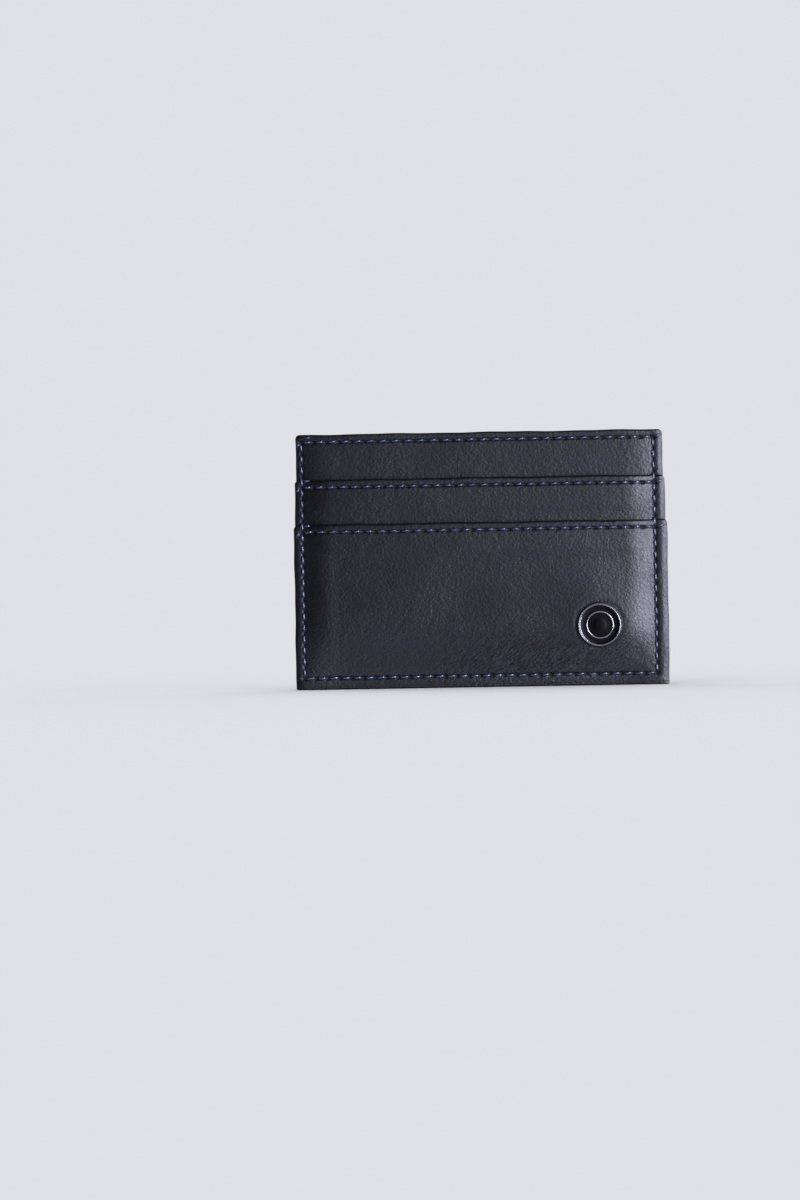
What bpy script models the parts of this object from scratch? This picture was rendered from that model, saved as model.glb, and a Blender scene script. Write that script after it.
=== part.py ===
"""A slim leather card holder with turned edges: four card slots and a centre compartment.

It stands upright on its long bottom edge. X runs along its width, Z is up and its
front faces -Y. Each half is a pile of thin layers, built outwards from the middle
plane: compartment lining, body board, body panel, upper slot with its lining, middle
panel, lower slot with its lining, and pocket panel. A layer's faces are given by their
depth, the distance from the middle plane, so the same functions serve both halves.
Every slot is closed along the seam at the sides and the bottom, and opens inwards from
there until a card fits in it. All sizes are in metres.
"""

import math

import bmesh
import bpy

# Outline
WIDTH = 0.1000  # across the pocket panel, the widest tier
HEIGHT = 0.0685  # bottom edge to the body panel's top edge
MIDDLE_MOUTH_DROP = 0.0122  # from the top edge down to the middle panel's mouth
POCKET_MOUTH_DROP = 0.0120  # from there down to the pocket panel's mouth
TIER_STEP = 0.0004  # each tier is this much wider, on each side, than the one behind it
TOP_CORNER_RADIUS = 0.0012
BOTTOM_CORNER_RADIUS = 0.0005
CORNER_STEPS = 3

# Cards and slots
CARD_THICKNESS = 0.00076
CARD_CLEARANCE = 0.00004
CLOSED_SLOT = 0.00004  # what is left of a slot under the seam
UPPER_SLOT_FOOT = 0.0140  # height at which the upper slot's lining stops a card
UPPER_SLOT_RETURN = 0.0080  # how far that lining runs back up behind the card

# Material thicknesses
LEATHER = 0.00050
TURN_IN = 0.00025  # leather pared down where it is turned in along an edge
LINING = 0.00010
BOARD = 0.00025
GLUE_LINE = 0.00004  # between layers that are glued together

# Turned edges, measured inwards from the edge
LEFT_SEAM_INSET = 0.0023  # the seam line from the left side, as the front is seen
RIGHT_SEAM_INSET = 0.0034
BOTTOM_SEAM_INSET = 0.0031
TURN_IN_DEPTH = 0.0050  # full thickness of the side and bottom turn-ins ends here
MOUTH_TURN_IN_DEPTH = 0.0080
PARING = 0.0020  # a turn-in is pared from its full thickness to nothing over this
RAW_EDGE_SETBACK = 0.0005  # edges that aren't turned in stop this far inside
LINING_TOP_SETBACK = 0.0010  # a lining's top edge below its mouth, so the row catches it
BOARD_CLEARANCE = 0.0003
EDGE_ROUNDING = 0.00015

# Thread
THREAD_WIDTH = 0.00050
THREAD_HEIGHT = 0.00030
THREAD_MARGIN = 0.00015  # flat leather beside the seam thread, before the slots open
ROW_INSET = 0.0021  # a mouth's row of stitches below its edge
ROW_END_CLEARANCE = 0.0003
STEP_LEAD = 0.0003  # how far the seam thread runs on past a mouth before it drops
STEP_FALL = 0.0006  # the height over which it drops to the tier behind

# Badge
BADGE_FROM_SIDE = 0.0186
BADGE_FROM_BOTTOM = 0.0162
BADGE_RADIUS = 0.00605
BADGE_HEIGHT = 0.00105
BADGE_BEVEL = 0.00040
BADGE_RIM = 0.00085  # width of the rim, bevel included
BADGE_RECESS = 0.00040  # depth of the floor below the rim
BADGE_RING_RADIUS = 0.00360
BADGE_RING_WIDTH = 0.00060
BADGE_DOME_RADIUS = 0.00170
POST_RADIUS = 0.00080
POST_HOLE_CLEARANCE = 0.00015
WASHER_RADIUS = 0.00350
WASHER_THICKNESS = 0.00020
WASHER_BORE_CLEARANCE = 0.00005
WASHER_SEAT_CLEARANCE = 0.00020
ROUND_SEGMENTS = 40

MIDDLE_MOUTH = HEIGHT - MIDDLE_MOUTH_DROP
POCKET_MOUTH = MIDDLE_MOUTH - POCKET_MOUTH_DROP
POCKET_HALF_WIDTH = WIDTH / 2
MIDDLE_HALF_WIDTH = POCKET_HALF_WIDTH - TIER_STEP
BODY_HALF_WIDTH = MIDDLE_HALF_WIDTH - TIER_STEP
SEAM_LEFT = LEFT_SEAM_INSET - WIDTH / 2
SEAM_RIGHT = WIDTH / 2 - RIGHT_SEAM_INSET
WIDEST_INSET = max(LEFT_SEAM_INSET, RIGHT_SEAM_INSET, BOTTOM_SEAM_INSET)
SEAM_HOLD = WIDEST_INSET + THREAD_WIDTH / 2 + THREAD_MARGIN  # the slots are closed as far in as this
OPEN_FROM = TURN_IN_DEPTH + PARING  # and fully open from here
MOUTH_PARED = MOUTH_TURN_IN_DEPTH + PARING


def clear_scene():
    for thing in list(bpy.data.objects):
        bpy.data.objects.remove(thing, do_unlink=True)


def make_material(name, colour, roughness, metallic=0.0):
    material = bpy.data.materials.new(name)
    material.use_nodes = True
    shader = material.node_tree.nodes["Principled BSDF"]
    shader.inputs["Base Color"].default_value = (*colour, 1.0)
    shader.inputs["Roughness"].default_value = roughness
    shader.inputs["Metallic"].default_value = metallic
    material.diffuse_color = (*colour, 1.0)
    return material


# How the layers pile up: each function gives a depth at (x, z).


def rise(value, start, end):
    """0 before start, 1 past end, and straight between them."""
    return min(1.0, max(0.0, (value - start) / (end - start)))


def from_side(x):
    return WIDTH / 2 - abs(x)


def slot(x, z):
    """The width of any slot: closed under the seam, and open for a card inside it."""
    openness = rise(from_side(x), SEAM_HOLD, OPEN_FROM) * rise(z, SEAM_HOLD, OPEN_FROM)
    return CLOSED_SLOT + (CARD_THICKNESS + CARD_CLEARANCE - CLOSED_SLOT) * openness


def side_turn_in(x):
    return 1.0 - rise(from_side(x), TURN_IN_DEPTH, OPEN_FROM)


def bottom_turn_in(z):
    return 1.0 - rise(z, TURN_IN_DEPTH, OPEN_FROM)


def mouth_turn_in(z, mouth):
    return 1.0 - rise(mouth - z, MOUTH_TURN_IN_DEPTH, MOUTH_PARED)


def compartment_lining_inner(x, z):
    return slot(x, z) / 2


def compartment_lining_outer(x, z):
    return compartment_lining_inner(x, z) + LINING


def board_inner(x, z):
    return compartment_lining_outer(x, z) + GLUE_LINE


def board_outer(x, z):
    return board_inner(x, z) + BOARD


def body_inner(x, z):
    """The turned-in edges lie beside the board, on the lining."""
    turned = max(side_turn_in(x), mouth_turn_in(z, HEIGHT))
    return board_outer(x, z) + GLUE_LINE - (BOARD + GLUE_LINE) * turned


def body_outer(x, z):
    return board_outer(x, z) + GLUE_LINE + LEATHER


def upper_lining_rear(x, z):
    return body_outer(x, z) + GLUE_LINE


def upper_lining_front(x, z):
    return upper_lining_rear(x, z) + LINING + slot(x, z)


def middle_inner(x, z):
    return upper_lining_front(x, z) + LINING + GLUE_LINE


def middle_outer(x, z):
    turned = max(side_turn_in(x), mouth_turn_in(z, MIDDLE_MOUTH))
    return middle_inner(x, z) + LEATHER + TURN_IN * turned


def pocket_lining_inner(x, z):
    return middle_outer(x, z) + slot(x, z)


def pocket_lining_outer(x, z):
    return pocket_lining_inner(x, z) + LINING


def pocket_inner(x, z):
    return pocket_lining_outer(x, z) + GLUE_LINE


def pocket_outer(x, z):
    turned = max(side_turn_in(x), bottom_turn_in(z), mouth_turn_in(z, POCKET_MOUTH))
    return pocket_inner(x, z) + LEATHER + TURN_IN * turned


# Meshes


def finish_object(name, bm, material, smooth_angle=30.0):
    bmesh.ops.recalc_face_normals(bm, faces=bm.faces)
    mesh = bpy.data.meshes.new(name)
    bm.to_mesh(mesh)
    bm.free()
    mesh.shade_smooth()
    mesh.set_sharp_from_angle(angle=math.radians(smooth_angle))
    mesh.materials.append(material)
    thing = bpy.data.objects.new(name, mesh)
    bpy.context.scene.collection.objects.link(thing)
    return thing


def round_edges(thing):
    bevel = thing.modifiers.new("rounded edges", "BEVEL")
    bevel.width = EDGE_ROUNDING
    bevel.segments = 1
    bevel.limit_method = "ANGLE"
    bevel.angle_limit = math.radians(60)


def columns_within(half_width):
    """The places across the width where a layer bends, and its two edges."""
    bends = [WIDTH / 2 - inset for inset in (SEAM_HOLD, TURN_IN_DEPTH, OPEN_FROM)]
    right = [x for x in sorted(bends) if x < half_width] + [half_width]
    return [-x for x in reversed(right)] + right


def rows_within(low, high, mouths, corner):
    """(height, how far the side edge is drawn in there) for each row of a layer."""
    bends = [SEAM_HOLD, TURN_IN_DEPTH, OPEN_FROM]
    bends += [mouth - inset for mouth in mouths for inset in (MOUTH_PARED, MOUTH_TURN_IN_DEPTH)]
    rows = [(z, 0.0) for z in bends if low + corner < z < high - corner]
    quarter = [math.radians(90.0) * step / CORNER_STEPS for step in range(CORNER_STEPS + 1)]
    for angle in quarter if corner else [0.0]:
        drawn_in = corner * (1.0 - math.cos(angle))
        rows.append((high - corner * (1.0 - math.sin(angle)), drawn_in))
        bottom = min(corner, BOTTOM_CORNER_RADIUS)
        drawn_in = bottom * (1.0 - math.cos(angle))
        rows.append((low + bottom * (1.0 - math.sin(angle)), drawn_in))
    return sorted(rows)


def sheet(name, material, facing, half_width, span, mouths, faces, corner=0.0):
    """A layer between two depth functions, with its rim closed."""
    inner, outer = faces
    columns = columns_within(half_width)
    rows = rows_within(*span, mouths, corner)
    bm = bmesh.new()
    grids = []
    for depth in (inner, outer):
        grid = []
        for z, drawn_in in rows:
            edge = half_width - drawn_in
            places = [max(-edge, min(edge, x)) for x in columns]
            grid.append([bm.verts.new((x, facing * depth(x, z), z)) for x in places])
        grids.append(grid)
    last_row, last_column = len(rows) - 1, len(columns) - 1
    for grid in grids:
        for j in range(last_row):
            for i in range(last_column):
                a, b = grid[j][i], grid[j][i + 1]
                c, d = grid[j + 1][i + 1], grid[j + 1][i]
                # The diagonal is mirrored, so every layer folds along the same lines.
                halves = ((a, b, c), (a, c, d)) if i * 2 >= last_column else ((a, b, d), (b, c, d))
                for half in halves:
                    bm.faces.new(half)
    back, front = grids
    rim = [(j, 0) for j in range(last_row)]
    rim += [(last_row, i) for i in range(last_column)]
    rim += [(j, last_column) for j in range(last_row, 0, -1)]
    rim += [(0, i) for i in range(last_column, 0, -1)]
    for (row, column), (next_row, next_column) in zip(rim, rim[1:] + rim[:1]):
        edge = (back[row][column], back[next_row][next_column])
        bm.faces.new((*edge, front[next_row][next_column], front[row][column]))
    return finish_object(name, bm, material)


def folded_lining(name, material, facing, half_width, top):
    """The upper slot's lining: up behind the card, under its foot and up in front of it."""
    foot = UPPER_SLOT_FOOT
    rear_top = foot + UPPER_SLOT_RETURN
    bm = bmesh.new()
    sections = []
    for x in columns_within(half_width):
        rear = upper_lining_rear(x, rear_top)
        front = upper_lining_front(x, rear_top)
        outline = [
            (rear, rear_top),
            (rear, foot),
            (front + LINING, foot),
            (front + LINING, top),
            (front, top),
            (front, foot + LINING),
            (rear + LINING, foot + LINING),
            (rear + LINING, rear_top),
        ]
        sections.append([bm.verts.new((x, facing * depth, z)) for depth, z in outline])
    bridge(bm, sections)
    return finish_object(name, bm, material)


def bridge(bm, sections):
    """Joins each closed section to the next, and caps the two ends."""
    for first, second in zip(sections, sections[1:]):
        for k in range(len(first)):
            following = (k + 1) % len(first)
            bm.faces.new((first[k], first[following], second[following], second[k]))
    bm.faces.new(sections[0])
    bm.faces.new(sections[-1])


def thread(name, material, facing, path):
    """A laid thread along (x, z, depth) points: flat below and bevelled above."""
    half = THREAD_WIDTH / 2
    profile = [(-half, 0.0), (half, 0.0), (half, 0.6), (half / 2, 1.0), (-half / 2, 1.0), (-half, 0.6)]
    bm = bmesh.new()
    sections = []
    for index, (x, z, depth) in enumerate(path):
        before = path[max(index - 1, 0)]
        after = path[min(index + 1, len(path) - 1)]
        arrive = direction(before, (x, z)) if index else direction((x, z), after)
        leave = direction((x, z), after) if index < len(path) - 1 else arrive
        mid_x, mid_z = arrive[0] + leave[0], arrive[1] + leave[1]
        # A mitre at a corner is longer than the thread is wide.
        scale = 2.0 / (mid_x * mid_x + mid_z * mid_z)
        across = (-mid_z * scale, mid_x * scale)
        sections.append(
            [
                bm.verts.new(
                    (
                        x + across[0] * offset,
                        facing * (depth + GLUE_LINE + THREAD_HEIGHT * lift),
                        z + across[1] * offset,
                    )
                )
                for offset, lift in profile
            ]
        )
    bridge(bm, sections)
    return finish_object(name, bm, material)


def direction(start, end):
    dx, dz = end[0] - start[0], end[1] - start[1]
    length = math.hypot(dx, dz)
    return dx / length, dz / length


def turned(name, material, centre, facing, profile, closed_ring=False):
    """A shape turned about an axis along Y, from (radius, depth) points."""
    bm = bmesh.new()
    rings = []
    for radius, depth in profile:
        y = facing * depth
        if radius == 0.0:
            rings.append([bm.verts.new((centre[0], y, centre[1]))])
            continue
        ring = []
        for step in range(ROUND_SEGMENTS):
            angle = 2.0 * math.pi * step / ROUND_SEGMENTS
            x = centre[0] + radius * math.cos(angle)
            ring.append(bm.verts.new((x, y, centre[1] + radius * math.sin(angle))))
        rings.append(ring)
    pairs = list(zip(rings, rings[1:]))
    if closed_ring:
        pairs.append((rings[-1], rings[0]))
    for first, second in pairs:
        for k in range(ROUND_SEGMENTS):
            corners = [first[k % len(first)], first[(k + 1) % len(first)]]
            corners += [second[(k + 1) % len(second)], second[k % len(second)]]
            bm.faces.new(list(dict.fromkeys(corners)))
    return finish_object(name, bm, material)


# Pieces


def row_path(depth, z):
    """A row of stitches below a mouth, between the two side seams."""
    clear = THREAD_WIDTH / 2 + ROW_END_CLEARANCE
    left, right = SEAM_LEFT + clear, SEAM_RIGHT - clear
    places = [left] + [x for x in columns_within(right) if left < x < right] + [right]
    return [(x, z, depth(x, z)) for x in places]


def seam_path():
    """Down one side over the steps of the tiers, along the bottom and up the other side."""
    steps = [(HEIGHT - ROW_INSET, body_outer)]
    for mouth, above, below in (
        (MIDDLE_MOUTH, body_outer, middle_outer),
        (POCKET_MOUTH, middle_outer, pocket_outer),
    ):
        steps.append((mouth + STEP_LEAD + STEP_FALL, above))
        steps.append((mouth + STEP_LEAD, below))
    inner = [x for x in columns_within(SEAM_RIGHT) if SEAM_LEFT < x < SEAM_RIGHT]
    across = [SEAM_LEFT] + inner + [SEAM_RIGHT]
    foot = BOTTOM_SEAM_INSET
    path = [(SEAM_LEFT, z, depth(SEAM_LEFT, z)) for z, depth in steps]
    path += [(x, foot, pocket_outer(x, foot)) for x in across]
    path += [(SEAM_RIGHT, z, depth(SEAM_RIGHT, z)) for z, depth in reversed(steps)]
    return path


def build_half(half, facing, materials):
    leather, lining, board, blue = (materials[k] for k in ("leather", "lining", "board", "thread"))
    raw = RAW_EDGE_SETBACK

    sheet(
        f"{half}_compartment_lining",
        lining,
        facing,
        BODY_HALF_WIDTH - raw,
        (raw, HEIGHT - LINING_TOP_SETBACK),
        (),
        (compartment_lining_inner, compartment_lining_outer),
    )
    sheet(
        f"{half}_body_board",
        board,
        facing,
        WIDTH / 2 - OPEN_FROM - BOARD_CLEARANCE,
        (raw, HEIGHT - MOUTH_PARED - BOARD_CLEARANCE),
        (),
        (board_inner, board_outer),
    )
    body = sheet(
        f"{half}_body_panel",
        leather,
        facing,
        BODY_HALF_WIDTH,
        (raw, HEIGHT),
        (HEIGHT,),
        (body_inner, body_outer),
        TOP_CORNER_RADIUS,
    )
    folded_lining(
        f"{half}_upper_slot_lining",
        lining,
        facing,
        MIDDLE_HALF_WIDTH - raw,
        MIDDLE_MOUTH - LINING_TOP_SETBACK,
    )
    middle = sheet(
        f"{half}_middle_panel",
        leather,
        facing,
        MIDDLE_HALF_WIDTH,
        (raw, MIDDLE_MOUTH),
        (MIDDLE_MOUTH,),
        (middle_inner, middle_outer),
        TOP_CORNER_RADIUS,
    )
    sheet(
        f"{half}_pocket_lining",
        lining,
        facing,
        POCKET_HALF_WIDTH - raw,
        (raw, POCKET_MOUTH - LINING_TOP_SETBACK),
        (MIDDLE_MOUTH,),
        (pocket_lining_inner, pocket_lining_outer),
    )
    pocket = sheet(
        f"{half}_pocket_panel",
        leather,
        facing,
        POCKET_HALF_WIDTH,
        (0.0, POCKET_MOUTH),
        (MIDDLE_MOUTH, POCKET_MOUTH),
        (pocket_inner, pocket_outer),
        TOP_CORNER_RADIUS,
    )
    for panel in (body, middle, pocket):
        round_edges(panel)
    for row, mouth, depth in (
        ("top_edge", HEIGHT, body_outer),
        ("middle_mouth", MIDDLE_MOUTH, middle_outer),
        ("pocket_mouth", POCKET_MOUTH, pocket_outer),
    ):
        thread(f"{half}_{row}_stitching", blue, facing, row_path(depth, mouth - ROW_INSET))
    return pocket


def build_badge(panel, facing, materials):
    """The medallion's post goes through the pocket panel, and a washer let into its back holds it."""
    centre = (WIDTH / 2 - BADGE_FROM_SIDE, BADGE_FROM_BOTTOM)
    washer_back = pocket_inner(*centre)
    washer_front = washer_back + WASHER_THICKNESS
    seat = washer_front + GLUE_LINE
    base = pocket_outer(*centre) + GLUE_LINE
    top = base + BADGE_HEIGHT
    floor = top - BADGE_RECESS
    ring_outer = BADGE_RING_RADIUS + BADGE_RING_WIDTH / 2
    ring_inner = BADGE_RING_RADIUS - BADGE_RING_WIDTH / 2
    slope = BADGE_RING_WIDTH / 4
    medallion = [
        (0.0, washer_back),
        (POST_RADIUS, washer_back),
        (POST_RADIUS, base),
        (BADGE_RADIUS, base),
        (BADGE_RADIUS, top - BADGE_BEVEL),
        (BADGE_RADIUS - BADGE_BEVEL, top),
        (BADGE_RADIUS - BADGE_RIM, top),
        (BADGE_RADIUS - BADGE_RIM - slope, floor),
        (ring_outer + slope, floor),
        (ring_outer, top),
        (ring_inner, top),
        (ring_inner - slope, floor),
        (BADGE_DOME_RADIUS, floor),
        (BADGE_DOME_RADIUS * 0.7, floor + BADGE_RECESS * 0.6),
        (0.0, floor + BADGE_RECESS * 0.8),
    ]
    turned("badge_medallion", materials["badge"], centre, facing, medallion)

    bore = POST_RADIUS + WASHER_BORE_CLEARANCE
    washer = [
        (bore, washer_back),
        (WASHER_RADIUS, washer_back),
        (WASHER_RADIUS, washer_front),
        (bore, washer_front),
    ]
    turned("badge_washer", materials["washer"], centre, facing, washer, closed_ring=True)

    hole = POST_RADIUS + POST_HOLE_CLEARANCE
    seat_radius = WASHER_RADIUS + WASHER_SEAT_CLEARANCE
    cut = [
        (0.0, washer_back - LEATHER),
        (seat_radius, washer_back - LEATHER),
        (seat_radius, seat),
        (hole, seat),
        (hole, base + LEATHER),
        (0.0, base + LEATHER),
    ]
    cutter = turned("badge_hole_cutter", materials["leather"], centre, facing, cut)
    cutter.hide_render = True
    cutter.display_type = "WIRE"
    boolean = panel.modifiers.new("badge hole and washer seat", "BOOLEAN")
    boolean.operation = "DIFFERENCE"
    boolean.object = cutter


def build_card_holder():
    clear_scene()
    materials = {
        "leather": make_material("nappa leather", (0.028, 0.031, 0.044), 0.52),
        "lining": make_material("woven lining", (0.016, 0.018, 0.030), 0.85),
        "board": make_material("stiffening board", (0.32, 0.29, 0.24), 0.90),
        "thread": make_material("blue thread", (0.045, 0.070, 0.250), 0.45),
        "badge": make_material("dark nickel", (0.30, 0.29, 0.29), 0.22, 1.0),
        "washer": make_material("steel washer", (0.55, 0.55, 0.56), 0.35, 1.0),
    }
    front_pocket = build_half("front", -1.0, materials)
    build_half("back", 1.0, materials)
    build_badge(front_pocket, -1.0, materials)
    thread("perimeter_needle_thread", materials["thread"], -1.0, seam_path())
    thread("perimeter_bobbin_thread", materials["thread"], 1.0, seam_path())


build_card_holder()
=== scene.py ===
"""The look of a slim leather card holder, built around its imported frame.

Lengths are in millimetres until a mesh is made. Each half is worked out as depths from
the middle plane, at a place (x, z) on its face, and side is -1 for the front half and
+1 for the back half. The layers share the same depths, so they keep their order. Only
the badge and its washer are flat, so the washer's rim comes through the leather under
the badge, where it isn't seen.
"""

import math

import bpy
import numpy as np
from mathutils import Matrix, Vector


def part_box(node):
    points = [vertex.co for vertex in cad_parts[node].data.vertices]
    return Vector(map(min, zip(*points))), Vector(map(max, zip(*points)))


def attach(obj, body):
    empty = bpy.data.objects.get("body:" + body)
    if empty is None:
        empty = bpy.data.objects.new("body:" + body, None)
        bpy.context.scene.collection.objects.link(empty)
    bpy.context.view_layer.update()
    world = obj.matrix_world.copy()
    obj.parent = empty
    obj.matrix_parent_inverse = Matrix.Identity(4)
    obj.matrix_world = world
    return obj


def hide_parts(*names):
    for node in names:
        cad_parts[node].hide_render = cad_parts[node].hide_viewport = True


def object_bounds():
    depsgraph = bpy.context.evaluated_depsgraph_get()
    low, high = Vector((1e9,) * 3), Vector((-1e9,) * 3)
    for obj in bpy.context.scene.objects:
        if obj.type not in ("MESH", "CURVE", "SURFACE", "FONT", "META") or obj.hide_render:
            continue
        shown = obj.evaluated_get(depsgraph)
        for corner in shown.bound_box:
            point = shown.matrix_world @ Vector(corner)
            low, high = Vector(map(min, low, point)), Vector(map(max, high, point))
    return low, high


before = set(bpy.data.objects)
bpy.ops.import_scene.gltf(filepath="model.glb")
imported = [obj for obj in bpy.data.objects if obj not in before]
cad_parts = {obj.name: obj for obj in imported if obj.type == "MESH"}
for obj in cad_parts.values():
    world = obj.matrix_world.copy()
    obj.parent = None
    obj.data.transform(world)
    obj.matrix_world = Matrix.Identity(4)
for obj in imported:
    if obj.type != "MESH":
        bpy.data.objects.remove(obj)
cad_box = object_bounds()

MM = 0.001
SIDES = {"front": -1.0, "back": 1.0}

# Thicknesses of the materials
LEATHER = 0.50
TURN_IN = 0.25
LINING = 0.10
BOARD = 0.25
GLUE = 0.04
CLOSED = 0.04


def lowest(node):
    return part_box(node)[0] / MM


def highest(node):
    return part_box(node)[1] / MM


class Panel:
    """The outline of one leather panel: its half width, foot, mouth and corner radii."""

    def __init__(self, name, top_radius=1.2, foot_radius=0.5):
        low, high = lowest(f"front_{name}_panel"), highest(f"front_{name}_panel")
        self.name = name
        self.half, self.foot, self.top = high.x, low.z, high.z
        self.lip = -low.y
        self.top_radius, self.foot_radius = top_radius, foot_radius

    def inset(self, x, z):
        """How far inside the rounded outline a place is."""
        middle, tall = (self.top + self.foot) / 2, (self.top - self.foot) / 2
        radius = np.where(z > middle, self.top_radius, self.foot_radius)
        out_x = np.abs(x) - (self.half - radius)
        out_z = np.abs(z - middle) - (tall - radius)
        corner = np.hypot(np.maximum(out_x, 0), np.maximum(out_z, 0))
        return radius - corner - np.minimum(np.maximum(out_x, out_z), 0)

    def drawn_in(self, z):
        """How much a rounded corner narrows the panel at height z."""
        above = np.clip(self.top_radius - (self.top - z), 0, self.top_radius)
        below = np.clip(self.foot_radius - (z - self.foot), 0, self.foot_radius)
        narrow = self.top_radius - np.sqrt(self.top_radius**2 - above**2)
        return narrow + self.foot_radius - np.sqrt(self.foot_radius**2 - below**2)


BODY, MIDDLE, POCKET = Panel("body"), Panel("middle"), Panel("pocket")
HALF = POCKET.half
OPEN = MIDDLE.lip - BODY.lip - 2 * (GLUE + LINING) - LEATHER - TURN_IN

# Seam lines, from the thread nodes
THREAD_WIDE = highest("front_top_edge_stitching").z - lowest("front_top_edge_stitching").z
SEAM_LEFT = lowest("perimeter_needle_thread").x + THREAD_WIDE / 2
SEAM_RIGHT = highest("perimeter_needle_thread").x - THREAD_WIDE / 2
SEAM_Z = lowest("perimeter_needle_thread").z + THREAD_WIDE / 2
SEAM_TOP = highest("perimeter_needle_thread").z

BADGE_CENTRE_X = (lowest("badge_medallion").x + highest("badge_medallion").x) / 2
BADGE_CENTRE_Z = (lowest("badge_medallion").z + highest("badge_medallion").z) / 2
BADGE_RADIUS = (highest("badge_medallion").x - lowest("badge_medallion").x) / 2


def row_height(name):
    node = f"front_{name}_stitching"
    return (lowest(node).z + highest(node).z) / 2


TOP_ROW, MIDDLE_ROW, POCKET_ROW = (
    row_height(n) for n in ("top_edge", "middle_mouth", "pocket_mouth")
)

# How the layers lie over each other


def hinge(value, ease):
    """value where it is positive and 0 where it is negative, with a rounded bend."""
    bend = (value + ease) ** 2 / (4 * ease)
    return np.where(value <= -ease, 0.0, np.where(value >= ease, value, bend))


def ramp(value, start, end, ease):
    """0 before start, 1 past end, straight between them, and rounded at both."""
    return (hinge(value - start, ease) - hinge(value - end, ease)) / (end - start)


def bell(value, wide):
    return np.exp(-((value / wide) ** 2))


def from_seam(x):
    """How far inside the side seams a place is."""
    return np.minimum(x - SEAM_LEFT, SEAM_RIGHT - x)


def openness(x, z):
    """0 under the seam, where the slots are closed, and 1 where they are fully open."""
    inside = from_seam(x)
    across = 0.72 * ramp(inside, 0.6, 6.3, 1.8) + 0.28 * ramp(inside, 0.6, 23.0, 8.0)
    return across * ramp(z, 3.3, 15.0, 2.6)


def gap(x, z):
    return CLOSED + (OPEN - CLOSED) * openness(x, z)


def sway(x, z):
    """The slight waves of leather that has been handled."""
    wave = np.sin(0.083 * x + 0.9) * np.sin(0.071 * z + 0.4)
    wave += 0.6 * np.sin(0.16 * x - 0.11 * z + 2.1)
    wave += 0.35 * np.sin(0.27 * x + 0.21 * z + 0.7)
    return 0.045 * wave * openness(x, z)


def crown(x, z):
    """The centre compartment springs a little open."""
    return 0.40 * np.maximum(1 - (x / 47.0) ** 2, 0) * ramp(z, 3.0, 32.0, 6.0)


def core(x, z):
    return gap(x, z) / 2 + sway(x, z) + crown(x, z)


def side_turn(x):
    return 1 - ramp(HALF - np.abs(x), 4.8, 7.2, 0.7)


def side_swell(x):
    """The turned-in leather feathers out, so that its end hardly shows outside."""
    return 1 - ramp(HALF - np.abs(x), 4.6, 10.5, 1.8)


def mouth_turn(panel, z):
    return 1 - ramp(panel.top - z, 7.8, 10.2, 0.8)


def lean(panel, z):
    """A mouth's edge leans back towards what is behind it."""
    return 0.26 * np.exp(-(panel.top - z) / 0.9) * ramp(panel.top - z + 2, 0, 2, 0.5)


def board_inner(x, z):
    return core(x, z) + LINING + GLUE


def body_inner(x, z):
    turned = np.maximum(side_turn(x), mouth_turn(BODY, z))
    return board_inner(x, z) + (BOARD + GLUE) * (1 - turned)


def body_outer(x, z):
    return board_inner(x, z) + BOARD + GLUE + LEATHER


def middle_inner(x, z):
    room = 2 * (GLUE + LINING) + gap(x, z)
    return body_outer(x, z) + room - lean(MIDDLE, z)


def middle_outer(x, z):
    turned = np.maximum(side_swell(x), mouth_turn(MIDDLE, z))
    return middle_inner(x, z) + LEATHER + TURN_IN * turned


BUILDING = {"half": "front"}  # only the front half has a badge


def belly(x, z):
    """The badge's post and washer push the pocket panel out round them."""
    if BUILDING["half"] == "back":
        return 0.0
    near = ((x - BADGE_CENTRE_X) / 11.0) ** 2 + ((z - BADGE_CENTRE_Z) / 13.0) ** 2
    held = ramp(from_seam(x), 0.6, 8.5, 2.0) * ramp(z, 3.3, 12.0, 2.0)
    return 0.75 * np.exp(-near) * held


def pocket_inner(x, z):
    # Below the pocket's mouth the middle panel's own lean is nothing.
    return middle_outer(x, z) + gap(x, z) + LINING + GLUE - lean(POCKET, z) + belly(x, z)


def pocket_outer(x, z):
    low = 1 - ramp(z, 4.6, 10.0, 1.8)
    turned = np.maximum(np.maximum(side_swell(x), low), mouth_turn(POCKET, z))
    return pocket_inner(x, z) + LEATHER + TURN_IN * turned


STACK = {
    "body": (body_inner, body_outer),
    "middle": (middle_inner, middle_outer),
    "pocket": (pocket_inner, pocket_outer),
}

# Needle holes

ROW_PITCH = {"body": 3.4, "middle": 3.15, "pocket": 3.3}
FOOT_PITCH = 3.15
COLUMN_PITCH = 2.95


def spaced(start, end, pitch):
    return np.linspace(start, end, 1 + round(abs(end - start) / pitch))


ROW_X = {name: spaced(SEAM_LEFT, SEAM_RIGHT, pitch) for name, pitch in ROW_PITCH.items()}
FOOT_X = spaced(SEAM_LEFT, SEAM_RIGHT, FOOT_PITCH)
COLUMN_Z = spaced(SEAM_TOP, SEAM_Z, COLUMN_PITCH)


def holes(panel):
    """(x, z, along the row in x) for each needle hole that shows on a panel."""
    row, below = {
        "body": (TOP_ROW, MIDDLE.top),
        "middle": (MIDDLE_ROW, POCKET.top),
        "pocket": (POCKET_ROW, 0.0),
    }[panel.name]
    found = [(x, row, True) for x in ROW_X[panel.name]]
    heights = [z for z in COLUMN_Z if below < z < panel.top]
    found += [(x, z, False) for z in heights for x in (SEAM_LEFT, SEAM_RIGHT)]
    if panel.name == "pocket":
        found += [(x, SEAM_Z, True) for x in FOOT_X]
    return found


ROW_OF = {"body": TOP_ROW, "middle": MIDDLE_ROW, "pocket": POCKET_ROW}
NEXT_MOUTH = {"body": MIDDLE.top, "middle": POCKET.top, "pocket": None}

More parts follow.
